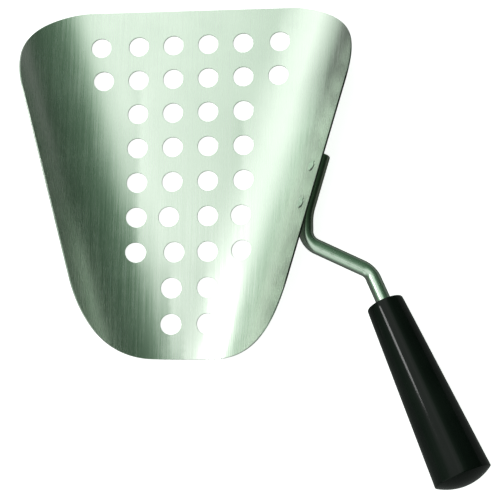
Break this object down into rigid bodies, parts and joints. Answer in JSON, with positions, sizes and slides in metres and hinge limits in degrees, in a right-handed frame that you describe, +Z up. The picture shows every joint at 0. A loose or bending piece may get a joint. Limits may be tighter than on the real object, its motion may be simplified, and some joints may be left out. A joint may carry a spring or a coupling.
{
  "type": "perforated sand scoop",
  "caption": "Perforated sheet scoop with rolled-up walls, open at its wide mouth and narrow spout, carried by a bent rod welded outside one wall and a tapered black grip.",
  "frame": {"origin": "on the underside of the flat floor, in the scoop's middle plane, about half-way between the mouth and the spout", "axes": "+Y towards the wide mouth, +X towards the side that carries the rod and grip, +Z up out of the open scoop"},
  "size_m": [0.279, 0.2966, 0.0531],
  "materials": {
    "brushed_sheet": "brushed along the scoop's length, soft satin sheen",
    "rod_steel": "dull drawn bar, faint lengthwise draw lines",
    "weld_metal": "slightly proud and heat-stained",
    "grip_plastic": "glossy moulded"
  },
  "bodies": {
    "root": {"scoop_shell": "brushed_sheet", "handle_rod": "rod_steel", "spot_welds": "weld_metal", "grip": "grip_plastic"}
  },
  "joints": []
}
